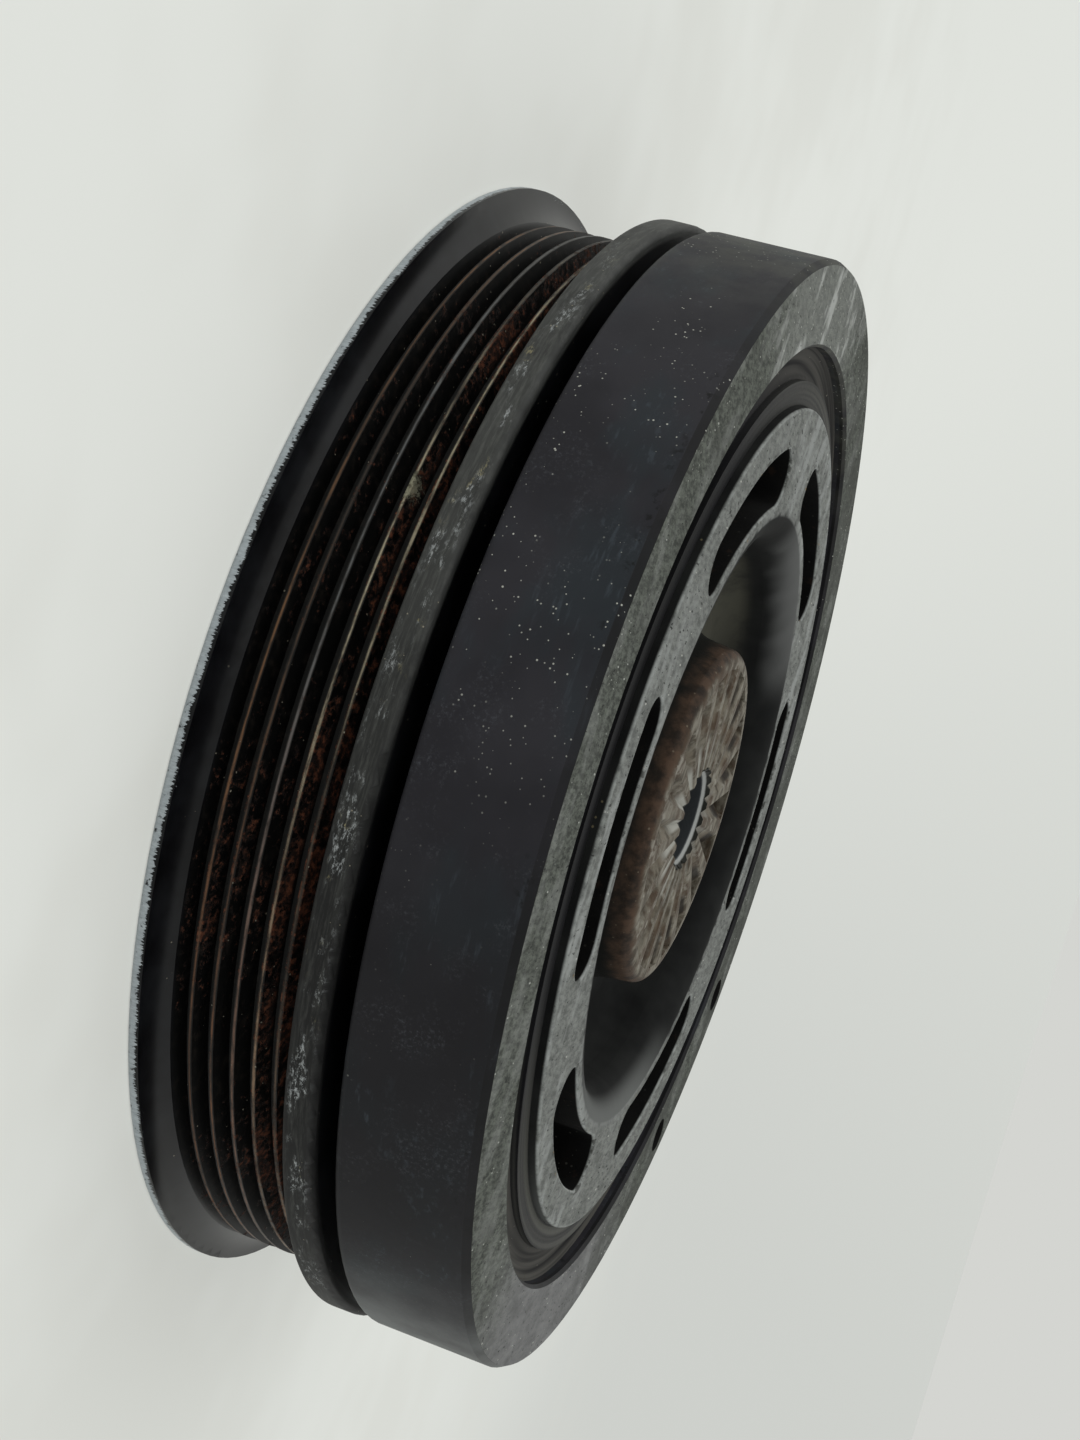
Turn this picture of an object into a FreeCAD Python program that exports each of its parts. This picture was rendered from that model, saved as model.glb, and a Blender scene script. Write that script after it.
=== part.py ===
"""Crankshaft pulley with a torsional vibration damper.

A spun steel belt rim with six V-grooves is pressed on the drum of a forged hub. The drum also carries
an inertia ring on a bonded rubber ring. The pulley stands on the front end of its belt rim: Z is the
axis of the crankshaft, heights are counted from that end and the splined hub face looks up.
"""
import FreeCAD
import Part
import Sketcher
import math
import os
import re

BELT_RIM = {
    "CrestRadius": 94.0,
    "FlangeRise": 5.2,
    "FlangeLand": 1.9,
    "FlangeEdge": 0.7,
    "FlangeLip": 3.2,
    "FlareBow": 0.68,
    "RibStart": 4.3,
    "RimWall": 3.4,
    "MouthFlare": 6.0,
    "MouthBow": 1.07,
    "BeadRise": 5.4,
    "BeadLean": 0.75,
    "BeadWidth": 5.0,
    "BeadFrontEdge": 0.7,
    "BeadBackEdge": 1.1,
    "WebThickness": 3.0,
    "WallCorner": 3.0,
}
GROOVES = {
    "GrooveCount": 6,
    "GroovePitch": 3.56,
    "GrooveDepth": 3.0,
    "CrestLand": 0.7,
    "GrooveHalfAngle": 20,
}
HUB = {
    "HubTurn": 9,
    "HubLength": 35.4,
    "FaceDrop": 1.1,
    "BoreRadius": 8.0,
    "BoreChamfer": 1.4,
    "FrontBossRadius": 26.0,
    "FrontBossChamfer": 1.0,
    "BossRadius": 30.5,
    "BossTaper": 1.6,
    "BossEdge": 2.2,
    "TroughDepth": 13.0,
    "TroughLean": 3.0,
    "TroughCorner": 6.5,
    "TroughWall": 6.0,
    "WallUnderLean": 2.0,
    "MouthRounding": 6.8,
    "DiscThickness": 8.0,
    "PlateProud": 0.6,
    "PlateThickness": 8.0,
    "PlateEdge": 0.4,
    "StepWidth": 4.4,
    "StepDepth": 1.6,
    "DrumRadius": 78.8,
    "DrumWall": 8.8,
    "SpigotStep": 3.8,
    "SpigotProud": 0.5,
    "InnerCorner": 2.5,
}
WINDOWS = {
    "WindowCount": 6,
    "WindowWidth": 10.0,
    "WindowMargin": 2.2,
    "WindowLand": 6.8,
    "WindowAngle": 32,
    "WindowPhase": 27,
    "WindowEdge": 0.4,
}
SPLINE = {
    "ToothCount": 20,
    "NotchEnd": 27.6,
    "NotchDepth": 2.4,
    "NotchHalfAngle": 50,
}
DAMPER = {
    "RubberThickness": 5.9,
    "RubberRecess": 2.2,
    "RubberFrontRecess": 1.5,
    "RubberHollow": 0.96,
    "RingGap": 3.3,
    "RingLength": 21.9,
    "RingWall": 14.6,
    "RingFrontEdge": 1.2,
    "RingChamfer": 0.8,
    "RingChamferHeight": 1.3,
    "RingBoreChamfer": 0.6,
    "BalanceInset": 6.7,
    "BalanceDiameter": 7.0,
    "BalanceDepth": 6.0,
    "BalanceAngleA": 46,
    "BalanceAngleB": 68,
}

# Heights that follow from these sizes, one on the other from the front end of the rim.
RIBS_END = "RibStart + GrooveCount * GroovePitch - CrestLand"
BEAD_FRONT = f"{RIBS_END} + BeadLean"
WEB_BACK = f"{BEAD_FRONT} + BeadWidth"
WEB_FRONT = f"{WEB_BACK} - WebThickness"
RING_FRONT = f"{WEB_BACK} + RingGap"
RING_BACK = f"{RING_FRONT} + RingLength"
PLATE_TOP = f"{RING_BACK} + PlateProud"
PLATE_UNDER = f"{PLATE_TOP} - PlateThickness"
TROUGH_FLOOR = f"{PLATE_TOP} - TroughDepth"
DISC_UNDER = f"{TROUGH_FLOOR} - DiscThickness"
HUB_FACE = f"{PLATE_TOP} - FaceDrop"
HUB_FRONT = f"{HUB_FACE} - HubLength"

# Radii that follow: the rim's from its crests, the damper's and the hub's from the drum.
FLANGE = "CrestRadius + FlangeRise"
BEAD = "CrestRadius + BeadRise"
RIM_INSIDE = "CrestRadius - GrooveDepth - RimWall"
RING_BORE = "DrumRadius + RubberThickness"
RING_OUTSIDE = f"{RING_BORE} + RingWall"
SPIGOT = "DrumRadius - SpigotStep"
DRUM_INSIDE = "DrumRadius - DrumWall"
PLATE_EDGE = "DrumRadius - StepWidth"
WINDOW_OUTER = f"{DRUM_INSIDE} - WindowMargin"
WINDOW_INNER = f"{WINDOW_OUTER} - WindowWidth"
WINDOW_MIDDLE = f"{WINDOW_OUTER} - WindowWidth / 2"
TROUGH_MOUTH = f"{WINDOW_INNER} - WindowLand"
TROUGH_FOOT = f"{TROUGH_MOUTH} - TroughLean"
BOSS_FOOT = "BossRadius + BossTaper"

document = FreeCAD.newDocument("CrankshaftPulley")
sheet = document.addObject("Spreadsheet::Sheet", "Sizes")


def fill_sheet(groups):
    """Write every size in a cell of its own and give the cell the size's name."""
    row = 1
    for group in groups:
        for name, value in group.items():
            sheet.set(f"A{row}", name)
            sheet.set(f"B{row}", str(value))
            sheet.setAlias(f"B{row}", name)
            row += 1
    document.recompute()


def bound(text):
    """Spell out the sheet in a formula made of size names."""
    return re.sub(r"\b[A-Z][A-Za-z]+\b", r"Sizes.\g<0>", text)


def size(text):
    """Value of a formula made of size names."""
    value = sheet.evalExpression(bound(text))
    return float(getattr(value, "Value", value))


def new_body(label):
    body = document.addObject("PartDesign::Body", label)
    body.Label = label
    return body


def origin_part(body, role):
    """Plane or axis of the body's own origin."""
    for feature in body.Origin.OriginFeatures:
        if feature.Role == role:
            return feature
    raise ValueError(role)


def new_sketch(body, name, role):
    sketch = body.newObject("Sketcher::SketchObject", name)
    sketch.AttachmentSupport = [(origin_part(body, role), "")]
    sketch.MapMode = "FlatFace"
    return sketch


def constrain(sketch, formula, *constraint):
    """Add a driving dimension and bind it to its formula."""
    index = sketch.addConstraint(Sketcher.Constraint(*constraint, size(formula)))
    sketch.setExpression(f"Constraints[{index}]", bound(formula))


def bow_radius(start, end, bow):
    """Formula for the radius of an arc between two corners that stands off its chord by the bow."""
    chord_squared = f"(({end[0]} - ({start[0]}))^2 + ({end[1]} - ({start[1]}))^2)"
    return f"{chord_squared} / (8 * {bow}) + {bow} / 2"


def arc_edge(start, end, radius, side):
    """Short arc between two points, with its centre on the left of the way if side is above zero.

    Returns the arc and the numbers of its ends that lie on the two points.
    """
    chord = end - start
    half = chord.Length / 2
    left = FreeCAD.Vector(-chord.y, chord.x, 0).normalize()
    centre = (start + end) / 2 + left * math.sqrt(radius * radius - half * half) * side
    circle = Part.Circle(centre, FreeCAD.Vector(0, 0, 1), radius)
    ends = (start, end) if side > 0 else (end, start)
    angles = [math.atan2(point.y - centre.y, point.x - centre.x) for point in ends]
    return Part.ArcOfCircle(circle, *angles), (1, 2) if side > 0 else (2, 1)


def outline(sketch, corners, arcs):
    """Closed outline through corners given as formulas.

    The arcs map the number of the corner that an arc leaves to the arc's bow and the side of its centre.
    """
    points = [FreeCAD.Vector(size(x), size(y), 0) for x, y in corners]
    ends = []
    radii = {}
    for number, start in enumerate(points):
        following = (number + 1) % len(points)
        if number in arcs:
            bow, side = arcs[number]
            radii[number] = bow_radius(corners[number], corners[following], bow)
            edge, edge_ends = arc_edge(start, points[following], size(radii[number]), side)
        else:
            edge, edge_ends = Part.LineSegment(start, points[following]), (1, 2)
        sketch.addGeometry(edge, False)
        ends.append(edge_ends)
    for number, (x, y) in enumerate(corners):
        following = (number + 1) % len(corners)
        sketch.addConstraint(
            Sketcher.Constraint("Coincident", number, ends[number][1], following, ends[following][0]))
        constrain(sketch, x, "DistanceX", -1, 1, number, ends[number][0])
        constrain(sketch, y, "DistanceY", -1, 1, number, ends[number][0])
    for number, radius in radii.items():
        constrain(sketch, radius, "Radius", number)


def turned(body, name, corners, arcs):
    """Solid of revolution about Z from an outline of (radius, height) corners."""
    sketch = new_sketch(body, name + "Outline", "XZ_Plane")
    outline(sketch, corners, arcs)
    feature = body.newObject("PartDesign::Revolution", name)
    feature.Profile = sketch
    feature.ReferenceAxis = (sketch, ["V_Axis"])
    feature.Angle = 360
    document.recompute()
    return feature


def rings_at(shape, places):
    """Names of the circular edges at the given (radius, height) formulas."""
    names = []
    for place in places:
        radius, height = (size(formula) for formula in place)
        for number, edge in enumerate(shape.Edges, 1):
            curve = edge.Curve
            if not isinstance(curve, Part.Circle):
                continue
            if abs(curve.Radius - radius) < 0.01 and abs(curve.Center.z - height) < 0.01:
                names.append(f"Edge{number}")
    return names


def round_edges(body, name, base, radius, places):
    feature = body.newObject("PartDesign::Fillet", name)
    feature.Base = (base, rings_at(base.Shape, places))
    feature.setExpression("Radius", bound(radius))
    document.recompute()
    return feature


def bevel_edges(body, name, base, width, places):
    feature = body.newObject("PartDesign::Chamfer", name)
    feature.Base = (base, rings_at(base.Shape, places))
    feature.setExpression("Size", bound(width))
    document.recompute()
    return feature


def cut_away(feature, volume_before, name):
    """Stop where a cut took nothing away."""
    document.recompute()
    if not feature.Shape.Volume < volume_before:
        raise ValueError(f"{name} cuts nothing")


def ring_pattern(body, name, original, count):
    """Copies of a feature evenly round Z."""
    pattern = body.newObject("PartDesign::PolarPattern", name)
    pattern.Originals = [original]
    pattern.Axis = (origin_part(body, "Z_Axis"), [""])
    pattern.Angle = 360
    pattern.setExpression("Occurrences", bound(count))
    body.Tip = pattern
    document.recompute()
    return pattern


def make_belt_pulley():
    """Spun rim: flared front flange, grooved wall, folded rear bead and the web that seats on the hub."""
    body = new_body("belt_pulley")
    corners = [
        (f"{FLANGE} - FlangeLip", "0"),
        (FLANGE, "0"),
        (FLANGE, "FlangeLand"),
        ("CrestRadius", "RibStart"),
        ("CrestRadius", RIBS_END),
        (BEAD, BEAD_FRONT),
        (BEAD, WEB_BACK),
        (SPIGOT, WEB_BACK),
        (SPIGOT, WEB_FRONT),
        (RIM_INSIDE, WEB_FRONT),
        (RIM_INSIDE, "MouthFlare"),
    ]
    # The flare is hollow on the belt's side and bulges on the inside of the rim.
    flares = {2: ("FlareBow", -1), 10: ("MouthBow", 1)}
    blank = turned(body, "RimBlank", corners, flares)
    blank = round_edges(body, "FlangeEdge", blank, "FlangeEdge", [(FLANGE, "0")])
    blank = round_edges(body, "BeadFrontEdge", blank, "BeadFrontEdge", [(BEAD, BEAD_FRONT)])
    blank = round_edges(body, "BeadBackEdge", blank, "BeadBackEdge", [(BEAD, WEB_BACK)])
    blank = round_edges(body, "WallCorner", blank, "WallCorner", [(RIM_INSIDE, WEB_FRONT)])
    cut_grooves(body, blank)
    return body


def cut_grooves(body, blank):
    """One V-groove with a flat bottom, repeated along the axis."""
    sketch = new_sketch(body, "GrooveOutline", "XZ_Plane")
    half_mouth = "(GroovePitch - CrestLand) / 2"
    middle = f"RibStart + {half_mouth}"
    lean = "tan(GrooveHalfAngle * 1deg)"
    # The cut starts just above the crests, so that the last groove leaves the bead's flank whole.
    clear = "CrestLand / 2"
    corners = [
        ("CrestRadius - GrooveDepth", f"{middle} - {half_mouth} + GrooveDepth * {lean}"),
        (f"CrestRadius + {clear}", f"{middle} - {half_mouth} - {clear} * {lean}"),
        (f"CrestRadius + {clear}", f"{middle} + {half_mouth} + {clear} * {lean}"),
        ("CrestRadius - GrooveDepth", f"{middle} + {half_mouth} - GrooveDepth * {lean}"),
    ]
    outline(sketch, corners, {})
    groove = body.newObject("PartDesign::Groove", "BeltGroove")
    groove.Profile = sketch
    groove.ReferenceAxis = (sketch, ["V_Axis"])
    groove.Angle = 360
    cut_away(groove, blank.Shape.Volume, "BeltGroove")
    pattern = body.newObject("PartDesign::LinearPattern", "BeltGrooves")
    pattern.Originals = [groove]
    pattern.Direction = (origin_part(body, "Z_Axis"), [""])
    pattern.setExpression("Length", bound("(GrooveCount - 1) * GroovePitch"))
    pattern.setExpression("Occurrences", bound("GrooveCount"))
    body.Tip = pattern
    cut_away(pattern, groove.Shape.Volume, "BeltGrooves")


def make_hub():
    """Forged hub: splined boss, trough round it, windowed plate and the drum under the rubber."""
    body = new_body("hub")
    step = f"{PLATE_TOP} - StepDepth"
    spigot_end = f"{WEB_FRONT} - SpigotProud"
    wall_under = f"{TROUGH_MOUTH} + TroughWall"
    wall_foot = f"{wall_under} - WallUnderLean"
    corners = [
        ("BoreRadius", HUB_FRONT),
        ("FrontBossRadius", HUB_FRONT),
        ("FrontBossRadius", DISC_UNDER),
        (wall_foot, DISC_UNDER),
        (wall_under, PLATE_UNDER),
        (DRUM_INSIDE, PLATE_UNDER),
        (DRUM_INSIDE, spigot_end),
        (SPIGOT, spigot_end),
        (SPIGOT, WEB_BACK),
        ("DrumRadius", WEB_BACK),
        ("DrumRadius", step),
        (PLATE_EDGE, step),
        (PLATE_EDGE, PLATE_TOP),
        (TROUGH_MOUTH, PLATE_TOP),
        (TROUGH_FOOT, TROUGH_FLOOR),
        (BOSS_FOOT, TROUGH_FLOOR),
        ("BossRadius", HUB_FACE),
        ("BoreRadius", HUB_FACE),
    ]
    blank = turned(body, "HubBlank", corners, {})
    blank = round_edges(body, "TroughMouth", blank, "MouthRounding", [(TROUGH_MOUTH, PLATE_TOP)])
    # The two corners of the trough never take more than its width.
    trough_corner = f"min(TroughCorner; ({TROUGH_FOOT} - ({BOSS_FOOT})) / 2)"
    trough_corners = [(TROUGH_FOOT, TROUGH_FLOOR), (BOSS_FOOT, TROUGH_FLOOR)]
    blank = round_edges(body, "TroughCorners", blank, trough_corner, trough_corners)
    under_corners = [
        ("FrontBossRadius", DISC_UNDER),
        (wall_foot, DISC_UNDER),
        (wall_under, PLATE_UNDER),
        (DRUM_INSIDE, PLATE_UNDER),
    ]
    blank = round_edges(body, "UnderCorners", blank, "InnerCorner", under_corners)
    blank = round_edges(body, "BossEdge", blank, "BossEdge", [("BossRadius", HUB_FACE)])
    blank = round_edges(body, "PlateEdge", blank, "PlateEdge", [(PLATE_EDGE, PLATE_TOP)])
    bore_ends = [("BoreRadius", HUB_FRONT), ("BoreRadius", HUB_FACE)]
    blank = bevel_edges(body, "BoreEnds", blank, "BoreChamfer", bore_ends)
    front_edge = [("FrontBossRadius", HUB_FRONT)]
    blank = bevel_edges(body, "FrontBossEdge", blank, "FrontBossChamfer", front_edge)
    windowed = cut_windows(body, blank)
    cut_face_spline(body, windowed)
    body.Placement = FreeCAD.Placement(FreeCAD.Vector(), FreeCAD.Vector(0, 0, 1), size("HubTurn"))
    body.setExpression("Placement.Rotation.Angle", bound("HubTurn * 1deg"))
    return body


def window_end(angle):
    """Centre of a window's round end."""
    radius = size(WINDOW_MIDDLE)
    return FreeCAD.Vector(radius * math.cos(angle), radius * math.sin(angle), 0)


def cut_windows(body, blank):
    """Kidney-shaped windows with round ends through the plate."""
    sketch = new_sketch(body, "WindowOutline", "XY_Plane")
    sketch.setExpression("AttachmentOffset.Base.z", bound(PLATE_TOP))
    phase = math.radians(size("WindowPhase"))
    half = math.radians(size("WindowAngle")) / 2
    first, last = phase - half, phase + half
    normal = FreeCAD.Vector(0, 0, 1)
    outer = Part.Circle(FreeCAD.Vector(), normal, size(WINDOW_OUTER))
    inner = Part.Circle(FreeCAD.Vector(), normal, size(WINDOW_INNER))
    start_cap = Part.Circle(window_end(first), normal, size("WindowWidth / 2"))
    end_cap = Part.Circle(window_end(last), normal, size("WindowWidth / 2"))
    sketch.addGeometry(Part.ArcOfCircle(outer, first, last), False)
    sketch.addGeometry(Part.ArcOfCircle(end_cap, last, last + math.pi), False)
    sketch.addGeometry(Part.ArcOfCircle(inner, first, last), False)
    sketch.addGeometry(Part.ArcOfCircle(start_cap, first + math.pi, first + 2 * math.pi), False)
    rays = [Part.LineSegment(FreeCAD.Vector(), window_end(angle)) for angle in (first, last)]
    for ray in rays:
        sketch.addGeometry(ray, True)
    links = [
        ("Coincident", 0, 3, -1, 1),
        ("Coincident", 2, 3, -1, 1),
        ("Tangent", 0, 2, 1, 1),
        ("Tangent", 1, 2, 2, 2),
        ("Tangent", 2, 1, 3, 1),
        ("Tangent", 3, 2, 0, 1),
        ("Coincident", 4, 1, -1, 1),
        ("Coincident", 4, 2, 3, 3),
        ("Coincident", 5, 1, -1, 1),
        ("Coincident", 5, 2, 1, 3),
    ]
    for link in links:
        sketch.addConstraint(Sketcher.Constraint(*link))
    constrain(sketch, WINDOW_OUTER, "Radius", 0)
    constrain(sketch, WINDOW_INNER, "Radius", 2)
    first_ray = "(WindowPhase - WindowAngle / 2) * 1deg"
    last_ray = "(WindowPhase + WindowAngle / 2) * 1deg"
    for line, formula, angle in ((4, first_ray, first), (5, last_ray, last)):
        index = sketch.addConstraint(Sketcher.Constraint("Angle", -1, 1, line, 1, angle))
        sketch.setExpression(f"Constraints[{index}]", bound(formula))
    window = body.newObject("PartDesign::Pocket", "Window")
    window.Profile = sketch
    window.Type = "ThroughAll"
    cut_away(window, blank.Shape.Volume, "Window")
    windows = ring_pattern(body, "Windows", window, "WindowCount")
    lip = [(WINDOW_OUTER, PLATE_TOP), (WINDOW_INNER, PLATE_TOP), ("WindowWidth / 2", PLATE_TOP)]
    return round_edges(body, "WindowLips", windows, "WindowEdge", lip)


def notch_section(body, name, place):
    """Section of a face notch at a distance from the axis, to which its size is proportional."""
    sketch = new_sketch(body, name, "YZ_Plane")
    sketch.setExpression("AttachmentOffset.Base.y", bound(HUB_FACE))
    sketch.setExpression("AttachmentOffset.Base.z", bound(place))
    depth = f"NotchDepth * ({place}) / NotchEnd"
    # The mouth is drawn above the face, so that the notch runs clear of it.
    clear = f"{depth} / 8"
    half_mouth = f"({depth} + {clear}) * tan(NotchHalfAngle * 1deg)"
    corners = [("0", f"-{depth}"), (half_mouth, clear), (f"-{half_mouth}", clear)]
    outline(sketch, corners, {})
    return sketch


def cut_face_spline(body, base):
    """Radial V-notches in the boss face, with a closed rim round them.

    Every edge of a notch points at the hub's axis, as on the teeth of a face coupling, so the notches
    widen and deepen outwards and their narrow ends nick the chamfer of the bore.
    """
    notch_sections = [
        notch_section(body, "NotchOuterEnd", "NotchEnd"),
        notch_section(body, "NotchInnerEnd", "BoreRadius / 2"),
    ]
    notch = body.newObject("PartDesign::SubtractiveLoft", "SplineNotch")
    notch.Profile = notch_sections[0]
    notch.Sections = notch_sections[1:]
    notch.Ruled = True
    cut_away(notch, base.Shape.Volume, "SplineNotch")
    ring_pattern(body, "FaceSpline", notch, "ToothCount")


def make_rubber():
    """Rubber ring bonded between the hub's drum and the inertia ring, hollow at both ends."""
    body = new_body("damper_rubber")
    corners = [
        ("DrumRadius", f"{RING_FRONT} + RubberFrontRecess"),
        (RING_BORE, f"{RING_FRONT} + RubberFrontRecess"),
        (RING_BORE, f"{RING_BACK} - RubberRecess"),
        ("DrumRadius", f"{RING_BACK} - RubberRecess"),
    ]
    turned(body, "RubberRing", corners, {0: ("RubberHollow", -1), 2: ("RubberHollow", -1)})
    return body


def make_inertia_ring():
    """Cast ring with two shallow balance holes drilled in its rear face."""
    body = new_body("inertia_ring")
    corners = [
        (RING_BORE, RING_FRONT),
        (RING_OUTSIDE, RING_FRONT),
        (RING_OUTSIDE, f"{RING_BACK} - RingChamferHeight"),
        (f"{RING_OUTSIDE} - RingChamfer", RING_BACK),
        (RING_BORE, RING_BACK),
    ]
    ring = turned(body, "RingBlank", corners, {})
    ring = round_edges(body, "RingFrontEdge", ring, "RingFrontEdge", [(RING_OUTSIDE, RING_FRONT)])
    bore_ends = [(RING_BORE, RING_FRONT), (RING_BORE, RING_BACK)]
    ring = bevel_edges(body, "RingBoreEnds", ring, "RingBoreChamfer", bore_ends)
    for letter in "AB":
        ring = drill_balance_hole(body, ring, letter)
    return body


def drill_balance_hole(body, base, letter):
    sketch = new_sketch(body, "BalancePlace" + letter, "XY_Plane")
    sketch.setExpression("AttachmentOffset.Base.z", bound(RING_BACK))
    across = f"({RING_OUTSIDE} - BalanceInset) * cos(BalanceAngle{letter} * 1deg)"
    along = f"({RING_OUTSIDE} - BalanceInset) * sin(BalanceAngle{letter} * 1deg)"
    centre = FreeCAD.Vector(size(across), size(along), 0)
    circle = Part.Circle(centre, FreeCAD.Vector(0, 0, 1), size("BalanceDiameter / 2"))
    sketch.addGeometry(circle, False)
    constrain(sketch, across, "DistanceX", -1, 1, 0, 3)
    constrain(sketch, along, "DistanceY", -1, 1, 0, 3)
    constrain(sketch, "BalanceDiameter / 2", "Radius", 0)
    document.recompute()
    hole = body.newObject("PartDesign::Hole", "BalanceHole" + letter)
    hole.Profile = sketch
    hole.DepthType = "Dimension"
    hole.DrillPoint = "Angled"
    hole.setExpression("Diameter", bound("BalanceDiameter"))
    hole.setExpression("Depth", bound("BalanceDepth"))
    cut_away(hole, base.Shape.Volume, hole.Name)
    return hole


def check_document(bodies):
    """Stop before anything is written if a feature failed or a piece is not one valid solid."""
    for item in document.Objects:
        if "Invalid" in item.State or "Error" in item.State:
            raise ValueError(f"{item.Name} failed: {item.State}")
    for body in bodies:
        if body.Shape.isNull() or not body.Shape.isValid() or len(body.Shape.Solids) != 1:
            raise ValueError(f"{body.Label} is not one valid solid")


def write_parts(bodies):
    os.makedirs("parts", exist_ok=True)
    for body in bodies:
        body.Shape.exportStep(f"parts/{body.Label}.step")
        box = body.Shape.BoundBox
        print(body.Label, "volume", round(body.Shape.Volume), "mm3, length", round(box.ZLength, 2), "mm")


fill_sheet([BELT_RIM, GROOVES, HUB, WINDOWS, SPLINE, DAMPER])
pieces = [make_belt_pulley(), make_hub(), make_rubber(), make_inertia_ring()]
document.recompute()
check_document(pieces)
write_parts(pieces)
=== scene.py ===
# %% [markdown]
# A crankshaft pulley with a torsional vibration damper, as it comes off an engine. The packed CAD model
# brings every shape in metres, standing on the front end of the belt rim with its axis along Z. Its
# forms are turned and forged, and they are right as they are, so nothing is modelled twice here. What
# the eye still misses is what years on an engine leave behind: satin iron with dust on it, a worn plate,
# a dark greasy trough, a bare and rusty splined boss, and black paint that the belt has rubbed through.
# This script adds those finishes, a plain studio and the camera of the photograph.

import math

import bpy
import numpy as np
from mathutils import Matrix, Vector

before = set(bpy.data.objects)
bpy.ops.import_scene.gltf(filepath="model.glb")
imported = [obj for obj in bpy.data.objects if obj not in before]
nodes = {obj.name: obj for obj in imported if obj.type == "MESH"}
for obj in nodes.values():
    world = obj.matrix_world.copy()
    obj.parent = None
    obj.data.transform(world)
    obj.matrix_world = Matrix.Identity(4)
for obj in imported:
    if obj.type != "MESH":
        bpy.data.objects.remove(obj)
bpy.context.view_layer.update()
print("pieces:", sorted(nodes))

# %% [markdown]
# Every finish below is a sum of small patterns: a mask says where, a noise says how much. Joining Math
# nodes by hand hides that sum, so shader maths is written as Python. A Signal wraps one socket, and its
# operators add the Math node, so that a mask can be written as 1 - mask * 2. The reflected forms let a
# plain number stand on the left, and | keeps the larger of two signals, which joins two masks.

# %% Signals: sockets with operators
class Signal:
    """One output of a node; arithmetic on it adds Math nodes to the same finish."""

    def __init__(self, finish, socket):
        self.finish = finish
        self.socket = socket

    def __add__(self, other):
        return self.finish.maths("ADD", self, other)

    def __radd__(self, other):
        return self.finish.maths("ADD", other, self)

    def __sub__(self, other):
        return self.finish.maths("SUBTRACT", self, other)

    def __rsub__(self, other):
        return self.finish.maths("SUBTRACT", other, self)

    def __mul__(self, other):
        return self.finish.maths("MULTIPLY", self, other)

    def __rmul__(self, other):
        return self.finish.maths("MULTIPLY", other, self)

    def __truediv__(self, other):
        return self.finish.maths("DIVIDE", self, other)

    def __or__(self, other):
        return self.finish.maths("MAXIMUM", self, other)

    def output(self, name):
        """Another output of the same node."""
        return Signal(self.finish, self.socket.node.outputs[name])


print("operators on a Signal:", [name for name in vars(Signal) if name.startswith("__r")])

# %% [markdown]
# A colour picked off a screen is an sRGB value, but a shader works in linear light. One helper turns
# the first into the second, so that the colours in this file can be compared with a photograph.

# %% Colours as they are seen
def seen(red, green, blue):
    """Linear colour of an sRGB value from 0 to 255: the standard curve, a power of 2.4 with a foot."""
    parts = np.array([red, green, blue]) / 255
    linear = np.where(parts <= 0.04045, parts / 12.92, ((parts + 0.055) / 1.055) ** 2.4)
    return (*[float(part) for part in linear], 1.0)


print("mid grey in linear light:", seen(128, 128, 128)[:3])

# %% [markdown]
# The pulley is a body of revolution, so places on it are best named by radius, height and angle. A
# Finish starts with those three, worked out from Object coordinates and turned into millimetres, and
# offers the few patterns that all four finishes share. UV maps would need unwrapping and would leave
# seams; patterns in space have none, and they run on from one piece to the next.

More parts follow.
